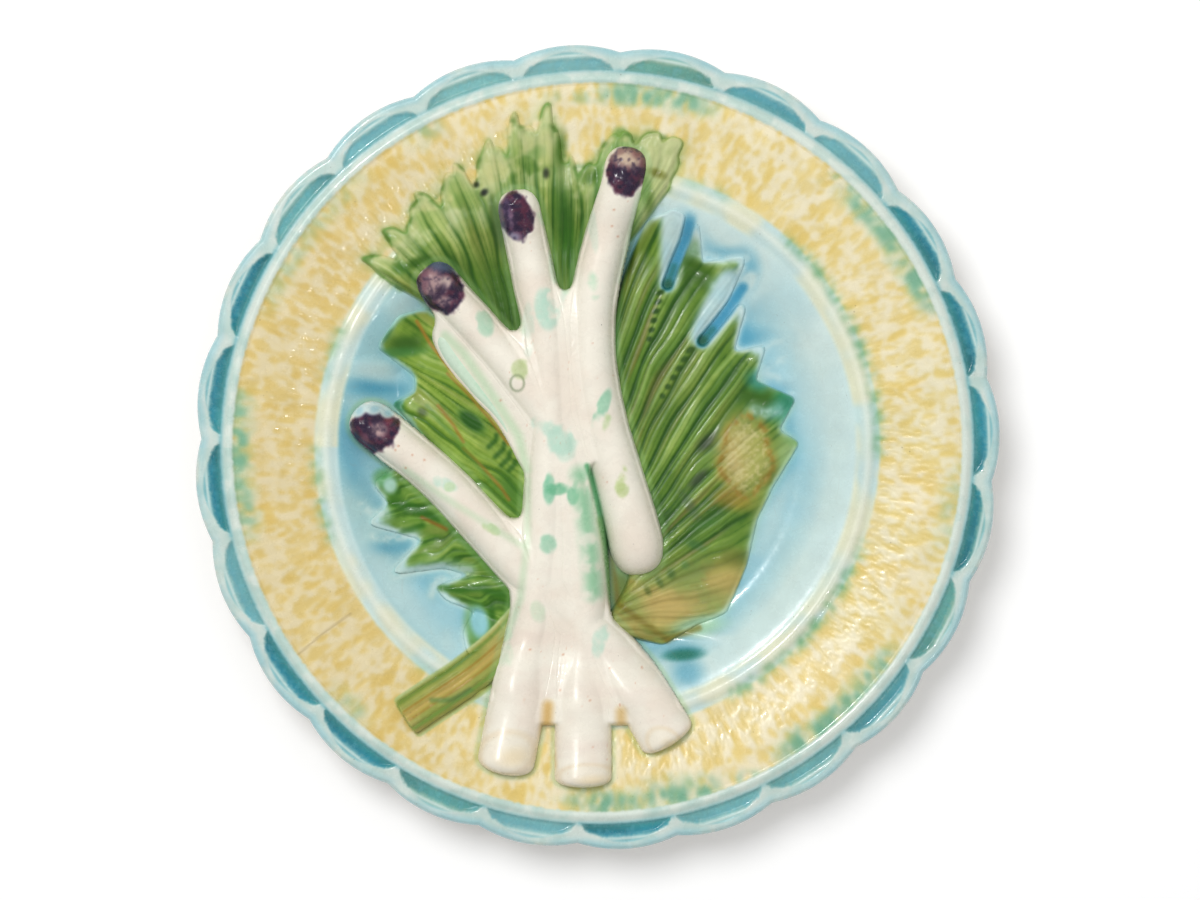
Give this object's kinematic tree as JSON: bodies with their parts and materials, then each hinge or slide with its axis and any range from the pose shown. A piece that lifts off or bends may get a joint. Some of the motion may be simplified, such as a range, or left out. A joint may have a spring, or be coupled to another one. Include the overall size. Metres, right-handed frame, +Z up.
{
  "type": "asparagus plate",
  "caption": "Round glazed earthenware plate with a scalloped border and raised asparagus spears lying on a leaf, for serving asparagus.",
  "frame": {"origin": "centre of the box's underside, on the table under the middle of the plate", "axes": "+Z up out of the plate, +Y towards the spears' tips, +X to the right as the spears stand upright"},
  "size_m": [0.2304, 0.2306, 0.0263],
  "materials": {
    "body_glaze": "gloss majolica glazes: pale blue well, yellow rim, turquoise scallops",
    "leaf_glaze": "gloss green glaze pooled dark in the grooves",
    "stalk_glaze": "gloss olive glaze with an amber streak",
    "shoot_glaze": "gloss pale green glaze",
    "spear_glaze": "gloss ivory glaze with green touches and purple-black tips"
  },
  "bodies": {
    "root": {"plate_body": "body_glaze", "leaf_crown": "leaf_glaze", "leaf_right": "leaf_glaze", "leaf_left": "leaf_glaze", "leaf_lower": "leaf_glaze", "leaf_stalk": "stalk_glaze", "side_shoot": "shoot_glaze", "spear_left": "spear_glaze", "spear_upper_left": "spear_glaze", "spear_upper": "spear_glaze", "spear_right": "spear_glaze"}
  },
  "joints": []
}
